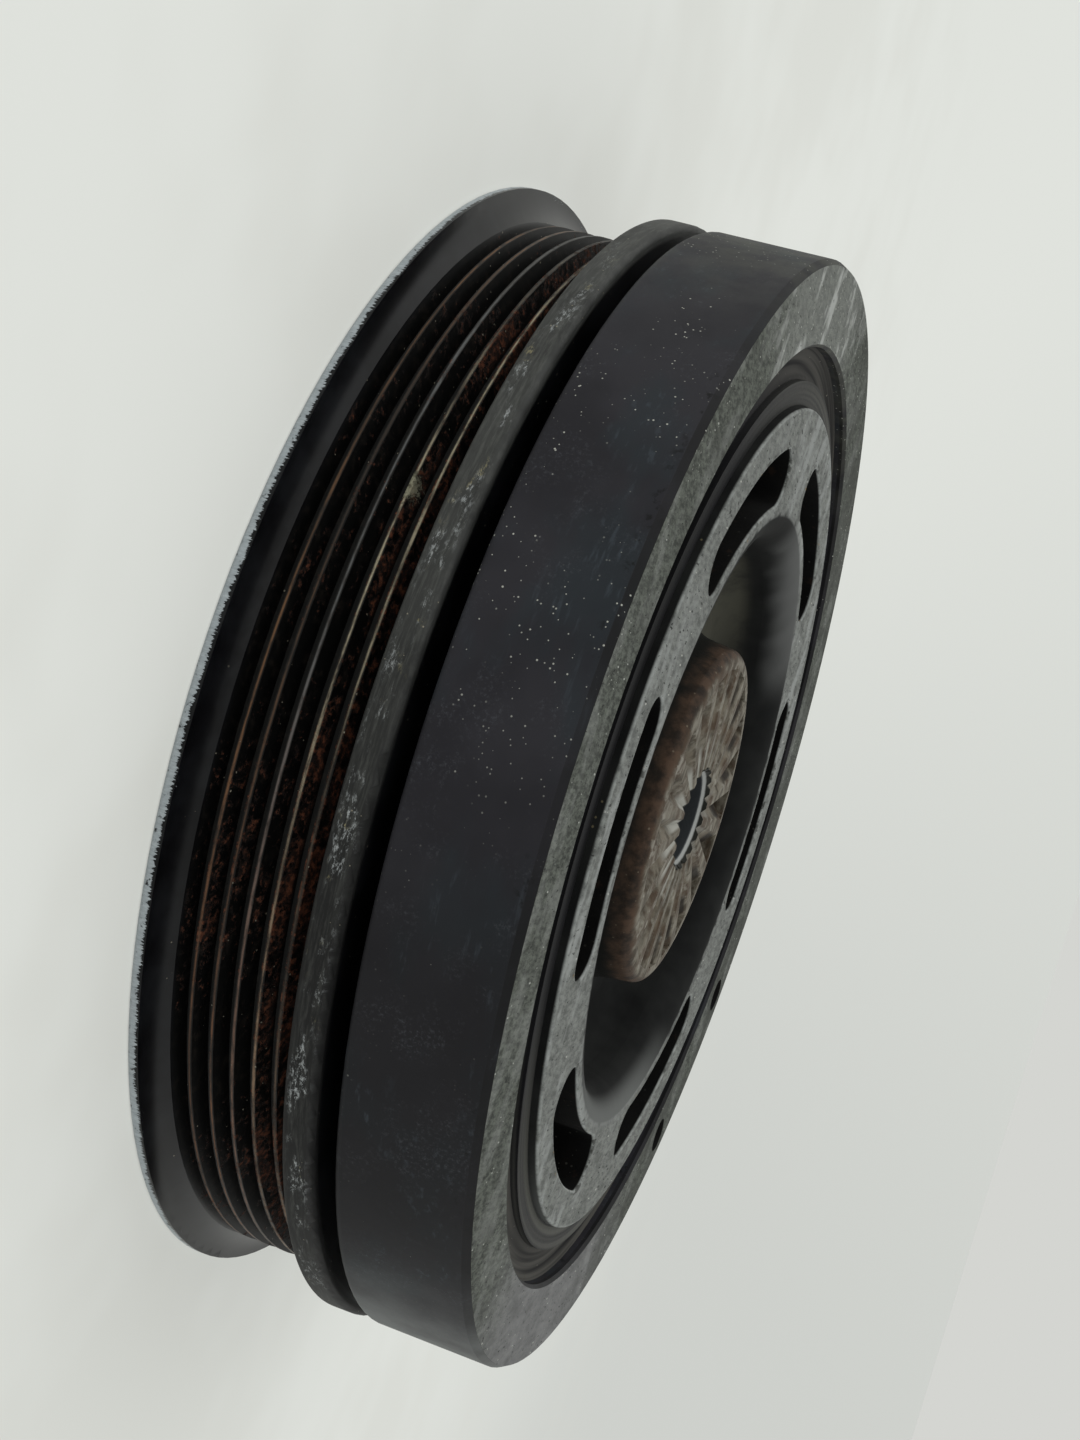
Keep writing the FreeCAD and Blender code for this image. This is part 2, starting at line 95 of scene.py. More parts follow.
# %% Finishes: one material and its node tree
class Finish:
    """A material whose node tree is written as expressions. Lengths are in millimetres."""

    def __init__(self, name):
        self.material = bpy.data.materials.new(name)
        self.material.use_nodes = True
        self.tree = self.material.node_tree
        self.shader = self.tree.nodes["Principled BSDF"]
        metres = self.add("ShaderNodeTexCoord", output="Object")
        self.place = self.add("ShaderNodeVectorMath", {"operation": "SCALE"}, {0: metres, "Scale": 1000})
        parts = self.add("ShaderNodeSeparateXYZ", sockets=[self.place])
        self.x, self.y, self.z = (parts.output(axis) for axis in "XYZ")
        self.radius = self.maths("SQRT", self.x * self.x + self.y * self.y)
        self.angle = self.maths("ARCTAN2", self.y, self.x)

    def add(self, kind, settings=None, sockets=(), output=0):
        """Make a node, set it up, then fill its sockets with numbers, colours or other signals."""
        node = self.tree.nodes.new(kind)
        for key, value in (settings or {}).items():
            setattr(node, key, value)
        pairs = sockets.items() if isinstance(sockets, dict) else enumerate(sockets)
        for key, value in pairs:
            if isinstance(value, Signal):
                self.tree.links.new(value.socket, node.inputs[key])
            else:
                node.inputs[key].default_value = value
        return Signal(self, node.outputs[output])

    def maths(self, operation, *values):
        return self.add("ShaderNodeMath", {"operation": operation}, values)

    def step(self, value, low, high):
        """0 below low, 1 above high and a smooth rise between; low may be the larger one."""
        settings = {"interpolation_type": "SMOOTHSTEP"}
        return self.add("ShaderNodeMapRange", settings, {"Value": value, 1: low, 2: high})

    def band(self, value, low, high, soft):
        """1 between low and high, with soft edges."""
        return self.step(value, low - soft, low + soft) * self.step(value, high + soft, high - soft)

    def side(self, degrees):
        """1 on the side of the pulley that lies at an angle, 0 a quarter turn off, -1 opposite."""
        turn = math.radians(degrees)
        return (self.x * math.cos(turn) + self.y * math.sin(turn)) / self.radius

    def stretched(self, x=1.0, y=1.0, z=1.0):
        """Place for a pattern that is drawn out where a factor is below 1."""
        return self.add("ShaderNodeCombineXYZ", sockets=[self.x * x, self.y * y, self.z * z])

    def turned(self, length):
        """Place for marks that run round the axis: length times as long as they are wide."""
        round_size = 90 / length
        across = self.radius + self.z
        return self.add("ShaderNodeCombineXYZ", sockets=[
            self.x / self.radius * round_size, self.y / self.radius * round_size, across])

    def noise(self, size, detail=4, rough=0.55, where=None):
        """Cloudy pattern about 0.5 whose blotches are about size across."""
        sockets = {"Vector": where or self.place, "Scale": 1 / size, "Detail": detail, "Roughness": rough}
        return self.add("ShaderNodeTexNoise", {}, sockets)

    def patches(self, size, low, high, detail=4, rough=0.6, where=None):
        """The noise cut into patches: 0 where it is below low, 1 where it is above high."""
        return self.step(self.noise(size, detail, rough, where), low, high)

    def specks(self, spacing, size, share, where=None):
        """Round grains: one cell in every spacing, a share of them filled, each of its own size."""
        sockets = {"Vector": where or self.place, "Scale": 1 / spacing}
        distance = self.add("ShaderNodeTexVoronoi", {}, sockets, "Distance")
        dice = self.add("ShaderNodeSeparateColor", sockets=[distance.output("Color")])
        reach = size / spacing * (0.35 + 0.65 * dice.output("Green"))
        filled = self.step(dice.output("Red"), share + 0.01, share)
        return self.step(distance, reach, reach * 0.6) * filled

    def mix(self, first, second, amount):
        """Colour that turns from the first to the second as amount goes from 0 to 1."""
        settings = {"data_type": "RGBA"}
        return self.add("ShaderNodeMix", settings, {0: amount, 6: first, 7: second}, 2)

    def bump(self, height, depth):
        """Normal of a relief whose signal of 1 stands depth millimetres high."""
        sockets = {"Height": height, "Distance": depth / 1000, "Strength": 1}
        return self.add("ShaderNodeBump", {}, sockets)

    def surface(self, **sockets):
        """Feed the surface shader; a socket's name is written with underscores."""
        for key, value in sockets.items():
            socket = self.shader.inputs[key.replace("_", " ").title().replace("Ior", "IOR")]
            if isinstance(value, Signal):
                self.tree.links.new(value.socket, socket)
            else:
                socket.default_value = value
        return self.material


# %% [markdown]
# The inertia ring is cast iron. Its turned outside has a satin, nearly black coat with a faint violet
# cast. A plain dark colour would look like plastic, so slow clouds make it a little lighter here and
# bluer there, as on a part that was wiped with a greasy rag, and a frost of fine marks lies over it.
# Places round the axis are named by their angle: the foot is where the pulley was set down, the head is
# opposite, and the lower near and the upper far side lie between.

# %% Ring: the coat of its outside
FOOT, FAR, HEAD_FAR, HEAD, HEAD_WIPED, NEAR, LOWER_NEAR = 0, 90, 150, 180, 195, 270, 303


def ring_coat(finish):
    """Colour of the coat: slow clouds, a bluish wipe along X, painted shade on the lower near side, then
    a frost of fine handling marks.
    """
    coat = finish.mix(seen(32, 31, 36), seen(42, 41, 46), finish.patches(24, 0.36, 0.66, detail=3))
    wipe_and_highlight = finish.patches(15, 0.47, 0.68, detail=3, where=finish.stretched(x=0.5))
    coat = finish.mix(coat, seen(35, 44, 49), wipe_and_highlight * 0.5)
    # painted shade: the coat is darkened on the lower near side
    coat = finish.mix(coat, seen(16, 15, 18), finish.step(finish.side(LOWER_NEAR), 0.88, 0.99) * 0.7)
    frost = finish.patches(0.6, 0.50, 0.70, detail=5, rough=0.8) * finish.patches(11, 0.48, 0.66)
    streaks = finish.patches(1.4, 0.56, 0.72, detail=3, where=finish.stretched(x=0.1, z=1.2))
    coat = finish.mix(coat, seen(92, 95, 101), frost * 0.35)
    return finish.mix(coat, seen(72, 80, 88), streaks * wipe_and_highlight * 0.3)


# %% [markdown]
# The ring's rear face is bare: the skin of the casting, ground flat and gone grey. Close up it is a
# salt-and-pepper of pits and grains under a millimetre, and pale wipes lie across it in one direction.
# They are strongest just past the head, the foot is swept paler and the far side is darker, so three
# masks by angle let these tones in.

# %% Ring: its bare rear face
def worn_face(finish):
    """Colour of the ground face: mottle with its lay along Y, soft wipes, dark pits, bright grains."""
    ground = finish.stretched(y=0.35)
    mottle = finish.noise(1.0, detail=6, rough=0.8, where=ground)
    grey = finish.mix(seen(42, 45, 40), seen(88, 92, 84), finish.step(mottle, 0.38, 0.62))
    grey = finish.mix(grey, seen(46, 48, 44), finish.patches(7, 0.5, 0.68, where=ground) * 0.5)
    wipes = finish.patches(5, 0.45, 0.66, detail=3, where=finish.stretched(x=0.5, y=0.8))
    at_head = finish.step(finish.side(HEAD_WIPED), 0.9, 0.98)
    grey = finish.mix(grey, seen(172, 174, 169), (wipes * (0.15 + 0.6 * at_head)) | at_head * 0.2)
    at_foot = finish.step(finish.side(FOOT), 0.8, 0.99)
    swept = finish.patches(4, 0.25, 0.75, detail=6, rough=0.7, where=ground)
    grey = finish.mix(grey, finish.mix(seen(88, 88, 88), seen(122, 122, 121), swept), at_foot * 0.85)
    far = finish.step(finish.side(FAR), 0.1, 0.5)
    grey = finish.mix(grey, seen(54, 56, 51), far * finish.patches(9, 0.36, 0.56, detail=2) * 0.6)
    pits = finish.patches(0.6, 0.65, 0.71, detail=2, where=ground)
    grey = finish.mix(grey, seen(16, 16, 15), pits * 0.9)
    return finish.mix(grey, seen(168, 170, 162), finish.specks(1.0, 0.2, 0.4, ground) * 0.8), mottle


# %% [markdown]
# Dust is not even: it drifts. One coarse noise says where a drift lies, and grains of two sizes fill it.
# A thin film of it lies on the side that faced up. The grains also feed the bump, so that they stand
# proud instead of looking printed on. The bevel between the outside and the face is black, and the coat
# next to it has flaked off down to the same black in a few places.

# %% Ring: dust, and the whole finish
# RING_FACE lies just under the rear face, and BALANCE_HOLES are the radii between which they are drilled.
RING_FACE, RING_BEVEL, RING_OUTSIDE = 55.85, 54.65, 98.4
BALANCE_HOLES = (88.0, 96.8)


def drifted_grains(finish):
    """Mask of the grains: fine ones in drifts on the upper half, single ones and a few crumbs."""
    upper_half = finish.step(finish.side(HEAD), -0.25, 0.35)
    drift = finish.patches(15, 0.5, 0.62, detail=3, where=finish.stretched(x=0.6, z=1.4))
    upper = finish.step(finish.side(HEAD), 0.8, 0.96)
    fine = finish.specks(0.75, 0.2, 0.4) * (drift * (0.06 + 0.94 * upper_half) | upper * 0.8)
    crumbs = finish.specks(9.0, 0.5, 0.25) * upper
    return fine | finish.specks(3.2, 0.2, 0.3) * (0.2 + 0.8 * upper_half) | crumbs


def ring_finish():
    finish = Finish("ring_satin_iron")
    face, mottle = worn_face(finish)
    on_face = finish.step(finish.z, RING_FACE, RING_FACE + 0.04)
    hole_shade = (1 - on_face) * finish.band(finish.radius, *BALANCE_HOLES, 0.1)
    colour = finish.mix(ring_coat(finish), face, on_face)
    bevel = finish.step(finish.z, RING_BEVEL - 0.1, RING_BEVEL + 0.1) * (1 - on_face)
    chipped = finish.patches(2.2, 0.56, 0.64, detail=5) * finish.patches(20, 0.5, 0.6)
    chipped = chipped * finish.step(finish.z, RING_BEVEL - 2.4, RING_BEVEL - 0.4) * (1 - on_face)
    thin = 0.6 + 0.4 * finish.patches(14, 0.4, 0.6, detail=2)
    colour = finish.mix(colour, seen(11, 11, 13), (bevel * thin | chipped) * 0.9)
    # painted shade: the walls of the balance holes are darkened nearly to black
    colour = finish.mix(colour, seen(14, 13, 13), hole_shade)
    upper = finish.step(finish.side(HEAD), 0.7, 1.0)
    film = upper * finish.patches(6, 0.36, 0.66) * (1 - on_face)
    colour = finish.mix(colour, seen(80, 82, 70), film * 0.4)
    # painted reflection of the pale table: the outside is lightened in a soft mottle at the foot
    outside = finish.step(finish.radius, RING_OUTSIDE - 0.5, RING_OUTSIDE) * (1 - on_face)
    low_side = finish.step(finish.side(FOOT), 0.74, 0.98) * outside
    reflection_mottle = finish.patches(12, 0.25, 0.75, detail=5, rough=0.6)
    colour = finish.mix(colour, seen(112, 116, 114), low_side * (0.15 + 0.45 * reflection_mottle))
    grains = drifted_grains(finish)
    colour = finish.mix(colour, seen(190, 190, 180), grains * 0.85)
    rough = 0.5 + 0.14 * mottle + 0.2 * on_face - 0.1 * low_side
    relief = finish.bump(mottle * (0.2 + 1.1 * on_face) + grains * 2.5, 0.04)
    return finish.surface(base_color=colour, roughness=rough, specular_ior_level=0.18, normal=relief)


# %% [markdown]
# The hub is one forging that is machined only where it matters, so its finish changes with the radius.
# The windows give it its face: their edges are rubbed bright and flaked, partly a painted highlight, and
# they are painted black inside as shade. A shader can't feel an edge, but it can work out how far a
# point is from a window. Folding the angle brings all six windows onto one, and the distance to the arc
# through its middle does the rest.

# %% Hub: distance from the nearest window
WINDOW_RADIUS, WINDOW_HALF_WIDTH = 62.8, 5.0
WINDOW_PHASE, WINDOW_REPEAT, WINDOW_HALF_ARC = map(math.radians, (36, 60, 16))


def window_distance(finish):
    """Millimetres outside the nearest window's edge, negative inside it.

    The angle beyond the end of the middle arc and the radius give two sides of a triangle with the
    nearest point of that arc; the law of cosines gives the third, less half a window's width.
    """
    folded = finish.maths("PINGPONG", finish.angle - WINDOW_PHASE, WINDOW_REPEAT / 2)
    beyond = finish.maths("MAXIMUM", folded - WINDOW_HALF_ARC, 0)
    product = finish.radius * finish.maths("COSINE", beyond) * (2 * WINDOW_RADIUS)
    squared = finish.radius * finish.radius + WINDOW_RADIUS ** 2 - product
    return finish.maths("SQRT", squared | 0) - WINDOW_HALF_WIDTH


# %% [markdown]
# The plate round the windows is ground and worn light grey, with pits like pinpricks and a few pale
# smears. Outside it the step and the damper's edge are darker, with a violet cast and rings of dust that
# follow the turning.

# %% Hub: the windowed plate and the step round it
PLATE_EDGE = 74.4


def plate_colour(finish, gap):
    ground = finish.stretched(y=0.35)
    fine = finish.noise(0.9, detail=6, rough=0.78, where=ground)
    grey = finish.mix(seen(80, 82, 79), seen(116, 119, 114), finish.step(fine, 0.36, 0.62))
    smear = finish.patches(3, 0.48, 0.68, where=ground)
    grey = finish.mix(grey, seen(66, 68, 65), smear * 0.6)
    pale = finish.patches(6, 0.46, 0.62, where=finish.stretched(x=0.5))
    near_and_far = finish.step(finish.side(LOWER_NEAR), 0.2, 0.9)
    near_and_far = near_and_far | finish.step(finish.side(HEAD_FAR), 0.4, 0.9)
    grey = finish.mix(grey, seen(146, 149, 146), pale * near_and_far * 0.6)
    pits = finish.patches(0.7, 0.64, 0.70, detail=2, where=ground)
    grey = finish.mix(grey, seen(13, 13, 12), pits * 0.95)
    grey = finish.mix(grey, seen(176, 176, 168), finish.specks(1.3, 0.24, 0.35, ground) * 0.8)
    # the edges of the windows and of the plate are flaked and rubbed bright, partly a painted highlight
    outer_edge = finish.band(finish.radius, PLATE_EDGE - 0.4, PLATE_EDGE + 0.2, 0.2)
    edge = finish.band(gap, -0.3, 0.3, 0.2) | outer_edge * 0.7
    grey = finish.mix(grey, seen(160, 164, 160), edge * finish.patches(4, 0.36, 0.6, detail=3) * 0.6)
    crumbled = finish.band(gap, -0.4, 1.0, 0.3) * finish.patches(1.6, 0.5, 0.58, detail=5, where=ground)
    grey = finish.mix(grey, seen(40, 41, 36), crumbled * finish.patches(12, 0.46, 0.58) * 0.8)
    stain = finish.patches(2.2, 0.66, 0.7) * finish.band(gap, -0.4, 1.0, 0.3)
    return finish.mix(grey, seen(140, 108, 48), stain * 0.7)


def step_colour(finish):
    rings = finish.noise(1.0, detail=2, where=finish.turned(70))
    dark = finish.mix(seen(11, 11, 13), seen(28, 28, 31), finish.step(rings, 0.3, 0.7))
    ends = finish.step(finish.side(FOOT), 0.3, 0.95) | finish.step(finish.side(HEAD_FAR), 0.2, 0.85)
    dusty = ends * finish.step(finish.noise(1.6, detail=2, where=finish.turned(90)), 0.3, 0.66)
    return finish.mix(dark, seen(92, 92, 85), dusty * 0.6)


# %% [markdown]
# The trough is the forging's own dark skin under old oil that dust has made dull: a smooth dish whose
# soft shading only the light can draw, so its colour stays quiet. Towards the mouth it is wiped paler
# at the foot, its lip shows a broken pale line that is partly a painted highlight, and a painted
# highlight lies along the mouth on the upper far side. Its floor is olive with dirt at the head.

# %% Hub: the trough
TROUGH_FLOOR = 43.5
TROUGH_LIP = (55.6, 56.9)


def trough_colour(finish):
    skin = finish.mix(seen(15, 16, 16), seen(28, 29, 28), finish.patches(14, 0.35, 0.68, detail=3))
    crumbs = finish.specks(1.3, 0.26, 0.35) * finish.step(finish.side(NEAR), 0.3, 0.9)
    skin = finish.mix(skin, seen(104, 96, 74), crumbs * finish.step(finish.z, 50, 54) * 0.7)
    olive = finish.step(finish.side(HEAD), 0.5, 0.9) * finish.step(finish.z, 50.0, 46.5)
    skin = finish.mix(skin, seen(78, 77, 66), olive * finish.patches(8, 0.2, 0.6) * 0.7)
    # painted highlight: the upper far side is lightened towards the mouth, where its rounding faces the
    # light
    feathered = finish.z + 4 * finish.noise(7, detail=1, where=finish.stretched(x=0.6)) - 2
    wipe_and_highlight = finish.step(feathered, 51.5, 56.5) * finish.step(finish.side(HEAD_FAR), 0.85, 0.98)
    skin = finish.mix(skin, seen(104, 105, 103), wipe_and_highlight * 0.6)
    rim = finish.step(finish.z, 53.8, 56.4) * finish.step(finish.side(FOOT), 0.7, 1.0)
    skin = finish.mix(skin, seen(116, 118, 115), rim * 0.6)
    # a broken pale line on the lip: worn, partly a painted highlight
    lip_wear_and_highlight = finish.band(finish.radius, *TROUGH_LIP, 0.35) * finish.patches(3, 0.36, 0.55)
    return finish.mix(skin, seen(136, 138, 134), lip_wear_and_highlight * 0.6)


# %% [markdown]
# The boss stands bare in the middle. Its flank is rusty brown near the top and turns to the trough's
# dark skin towards the root. Its face is beige-grey steel with brown dirt packed into the outer ends of
# the notches, made darker on the far side as painted shade, and the notches' inner halves are rubbed
# bright, with a painted highlight on the near side, which makes them look like petals round the bore. A
# painted highlight runs along the far edge of the face. The notches need no pattern of their own: a
# point on the boss that lies below its face is in one.

# %% Hub: the splined boss
BOSS_RADIUS, BOSS_FACE, BORE_RADIUS = 30.5, 55.41, 8.0
NOTCH_REACH, NOTCH_FLOOR = 27.5, 53.4


def flank_colour(finish):
    rust = finish.mix(seen(38, 31, 25), seen(76, 59, 46), finish.patches(3, 0.34, 0.64, detail=6))
    rust = finish.mix(rust, seen(116, 106, 90), finish.specks(1.2, 0.28, 0.4) * 0.6)
    rise = finish.z + 5 * finish.noise(4) - 2.5
    return finish.mix(seen(18, 19, 16), rust, finish.step(rise, 49.8, 54.0))


def boss_face_colour(finish):
    streaks = finish.noise(1.8, detail=5, rough=0.65, where=finish.stretched(x=0.4))
    steel = finish.mix(seen(66, 59, 48), seen(114, 109, 97), finish.step(streaks, 0.36, 0.62))
    steel = finish.mix(steel, seen(66, 50, 36), finish.patches(4.5, 0.46, 0.62, detail=5) * 0.75)
    steel = finish.mix(steel, seen(142, 139, 128), finish.patches(2.6, 0.56, 0.68, detail=5) * 0.6)
    in_notch = finish.step(BOSS_FACE - finish.z, 0.1, 0.5)
    in_notch = in_notch * finish.step(finish.radius, NOTCH_REACH + 0.4, NOTCH_REACH)
    # dirt in the outer ends of the notches, made darker on the far side as painted shade
    far = 0.25 + 0.75 * finish.step(finish.side(FAR), -0.3, 0.5)
    outer = finish.band(finish.radius + 3 * streaks, 22.8, 28.2, 1.3) * far
    steel = finish.mix(steel, seen(24, 18, 14), in_notch * outer * 0.85)
    packed = in_notch * finish.band(finish.radius, 15.5, 21.5, 1.5)
    steel = finish.mix(steel, seen(112, 104, 90), packed * finish.patches(5, 0.4, 0.6) * 0.6)
    # rubbed bright steel round the bore, made brighter on the near side as a painted highlight
    rubbed = finish.step(finish.radius, 17.5, 13) * in_notch
    steel = finish.mix(steel, seen(166, 166, 158), rubbed * (1.3 - far) * 0.8)
    # painted highlight along the far edge of the face
    rim = finish.band(finish.radius, BOSS_RADIUS - 1.8, BOSS_RADIUS - 0.9, 0.4)
    rim = rim * finish.step(finish.side(FAR), 0, 0.6)
    steel = finish.mix(steel, seen(132, 126, 116), rim * 0.7)
    return steel, rubbed


# %% [markdown]
# Now the zones are laid over each other from the outside in, each with the mask that says where it
# holds. The hollows come last: the windows' walls, the hollow under the plate and the inside of the drum
# are painted nearly black as shade, with dust that has stuck to the oil.

# %% Hub: the whole finish
# PLATE_SKIN lies just under the plate's face, and a point above it counts as that face.
PLATE_INSIDE, PLATE_SKIN = 56.2, 56.3


def hollow_shade_and_dust_colour(finish):
    skin = finish.mix(seen(4, 4, 4), seen(11, 11, 10), finish.patches(7, 0.36, 0.66))
    skin = finish.mix(skin, seen(40, 29, 21), finish.patches(3, 0.6, 0.72, detail=6) * 0.5)
    sand = finish.specks(1.0, 0.28, 0.5) * finish.patches(8, 0.46, 0.58)
    return finish.mix(skin, seen(78, 77, 70), sand * 0.5)


def hub_finish():
    finish = Finish("hub_forged_steel")
    radius, height = finish.radius, finish.z
    gap = window_distance(finish)
    boss_face, rubbed = boss_face_colour(finish)
    on_plate = finish.step(radius, PLATE_INSIDE - 1, PLATE_INSIDE + 1)
    on_plate = on_plate * finish.step(height, PLATE_SKIN - 0.4, PLATE_SKIN)
    on_step = finish.step(radius, PLATE_EDGE + 0.1, PLATE_EDGE + 0.4)
    on_flank = finish.step(radius, BOSS_RADIUS + 4, BOSS_RADIUS + 1.7)
    on_flank = on_flank * finish.step(height, TROUGH_FLOOR - 1.5, TROUGH_FLOOR + 0.5)
    on_boss = finish.step(radius, BOSS_RADIUS - 0.3, BOSS_RADIUS - 1.6)
    on_boss = on_boss * finish.step(height, NOTCH_FLOOR - 1.2, NOTCH_FLOOR)
    in_bore = finish.step(radius, BORE_RADIUS + 1.7, BORE_RADIUS + 1.3)
    in_window = finish.step(gap, 0.25, 0.08) * finish.step(height, PLATE_SKIN - 0.05, PLATE_SKIN - 0.35)
    under = finish.step(height, TROUGH_FLOOR - 1, TROUGH_FLOOR - 2.5) | in_window
    under = under * (1 - in_bore)
    colour = finish.mix(trough_colour(finish), plate_colour(finish, gap), on_plate)
    colour = finish.mix(colour, step_colour(finish), on_step)
    colour = finish.mix(colour, flank_colour(finish), on_flank)
    colour = finish.mix(colour, boss_face, on_boss)
    # the bore's chamfer is bright steel, partly a painted highlight, and a painted shadow ring lies
    # outside it
    chamfer = finish.step(radius, BORE_RADIUS + 0.05, BORE_RADIUS + 0.25)
    bore_steel = finish.mix(seen(58, 61, 63), seen(150, 152, 149), chamfer)
    bore_shadow_ring = finish.step(radius, BORE_RADIUS + 0.5, BORE_RADIUS + 0.8)
    bore_steel = finish.mix(bore_steel, seen(20, 21, 16), bore_shadow_ring)
    colour = finish.mix(colour, bore_steel, in_bore)
    # painted shade: the windows, the hollow under the plate and the drum are nearly black
    colour = finish.mix(colour, hollow_shade_and_dust_colour(finish), under)
    grain = finish.noise(0.8, detail=6, rough=0.7)
    oily = (1 - on_plate) * (1 - on_step) * (1 - on_flank) * (1 - on_boss) * (1 - under)
    rough = 0.56 + 0.22 * oily + 0.32 * under - 0.12 * rubbed + 0.12 * grain
    metal = rubbed * 0.3 | in_bore * 0.1
    relief = finish.bump(grain * (1 - 0.8 * oily), 0.05)
    return finish.surface(base_color=colour, roughness=rough, metallic=metal, normal=relief,
                          specular_ior_level=0.14)


# %% [markdown]
# The belt rim is spun from sheet and painted gloss black. The paint is gone where something rubs: on the
# outermost edge of the flange, where a band of bare steel ends in a ragged line of short chips, and on
# the crests between the grooves, which the belt polished and damp then stained brown. A wisp of dry
# dirt has caught on the fourth crest: a ball round one point, frayed by a fine noise.

# %% Belt rim: flange, grooves and bead
TRACK_START, TRACK_END, CREST, GROOVE_ROOT = 4.3, 24.96, 94.0, 91.0
FIRST_CREST, GROOVE_PITCH = 7.51, 3.56
BEFORE_THIRD_CREST, BEFORE_FOURTH_CREST = 12.8, 16.4
BEAD_START, BEAD_INSIDE = 25.7, 97.0
BEAD_CROWN = (26.6, 29.4)
FLANGE_EDGE = 98.5
WISP_PLACE, WISP_REACH = (-33.1, -88.0, 18.6), 4.5


def flange_wear(finish):
    """Mask of the bare band on the flange's edge; its border is hatched by chips along the axis."""
    hatch = finish.noise(0.32, detail=3, rough=0.7, where=finish.stretched(z=0.18))
    reach = 1.45 + 2.2 * (hatch - 0.5) + 1.2 * (finish.noise(11) - 0.5)
    bare = finish.step(reach - finish.z, 0.0, 0.1)
    bare = bare * finish.step(finish.radius, FLANGE_EDGE - 0.3, FLANGE_EDGE)
    return bare * finish.patches(1.2, 0.3, 0.4, detail=5), hatch


def track_wear(finish):
    """Masks of the worn lines on the crests and of the rust between the rear ones."""
    in_track = finish.band(finish.z, TRACK_START + 0.2, TRACK_END + 0.5, 0.2)
    beside = finish.maths("PINGPONG", finish.z - FIRST_CREST, GROOVE_PITCH / 2)
    wavering = beside + 0.4 * (finish.noise(2, where=finish.turned(8)) - 0.5)
    line = finish.step(wavering, 0.28, 0.05) * finish.step(finish.radius, CREST - 0.4, CREST - 0.1)
    rear = finish.step(finish.z, 15.5, 19.5)
    blotch = finish.noise(1.5, detail=6, rough=0.75, where=finish.stretched(z=1.2))
    share = blotch + 0.12 * rear + 0.5 * (finish.noise(16, detail=2) - 0.5)
    rust = finish.step(share, 0.58, 0.68) * in_track
    return line * in_track, rust * finish.step(finish.radius, GROOVE_ROOT, GROOVE_ROOT + 1)


def crest_colour(finish):
    """Brown on the first two crests, grey on the third, pale tan on the last; browner at the foot."""
    past_second = finish.step(finish.z, BEFORE_THIRD_CREST - 0.6, BEFORE_THIRD_CREST + 0.6)
    past_third = finish.step(finish.z, BEFORE_FOURTH_CREST - 0.6, BEFORE_FOURTH_CREST + 0.6)
    tone = finish.mix(seen(112, 82, 58), seen(96, 97, 97), past_second)
    tone = finish.mix(tone, seen(168, 158, 134), past_third)
    tone = finish.mix(tone, seen(118, 80, 58), finish.step(finish.side(FOOT), -0.2, 0.6) * 0.7)
    lively = finish.patches(5, 0.34, 0.58, where=finish.turned(12))
    lively = lively * finish.patches(0.8, 0.3, 0.6, where=finish.turned(5))
    return finish.mix(seen(52, 45, 40), tone, lively)


# %% [markdown]
# The bead behind the grooves was handled and scraped: a dull grey with whitish scuffs, darker towards
# the foot. Rust and bare metal change the shine as well as the colour, so the same masks feed the
# roughness and the metallic sockets, and a shallow bump lets the chips and the rust be felt.

# %% Belt rim: the bead's scuffs
def bead_colour(finish):
    upper = finish.step(finish.side(FOOT), 0.35, -0.5)
    crown = finish.band(finish.z, *BEAD_CROWN, 1.0)
    cloud = finish.patches(9, 0.3, 0.6)
    grey = finish.mix(seen(24, 24, 24), seen(66, 67, 65), upper * (0.4 + 0.4 * cloud))
    fine = finish.noise(0.5, detail=4, rough=0.7, where=finish.turned(9))
    brushed = finish.step(fine, 0.42, 0.7) * (0.1 + 0.25 * upper + 0.15 * crown)
    grey = finish.mix(grey, seen(92, 93, 89), brushed)
    scuffs = finish.patches(0.5, 0.5, 0.62, detail=5, rough=0.8, where=finish.turned(2.5))
    scuffs = scuffs * finish.patches(4, 0.5, 0.62, detail=3, where=finish.turned(3)) * crown
    scuffs = scuffs * finish.step(finish.side(HEAD), 0.95, 0.5)
    tint = finish.mix(seen(176, 180, 180), seen(150, 142, 108), finish.patches(7, 0.54, 0.6))
    return finish.mix(grey, tint, scuffs * 0.8), scuffs


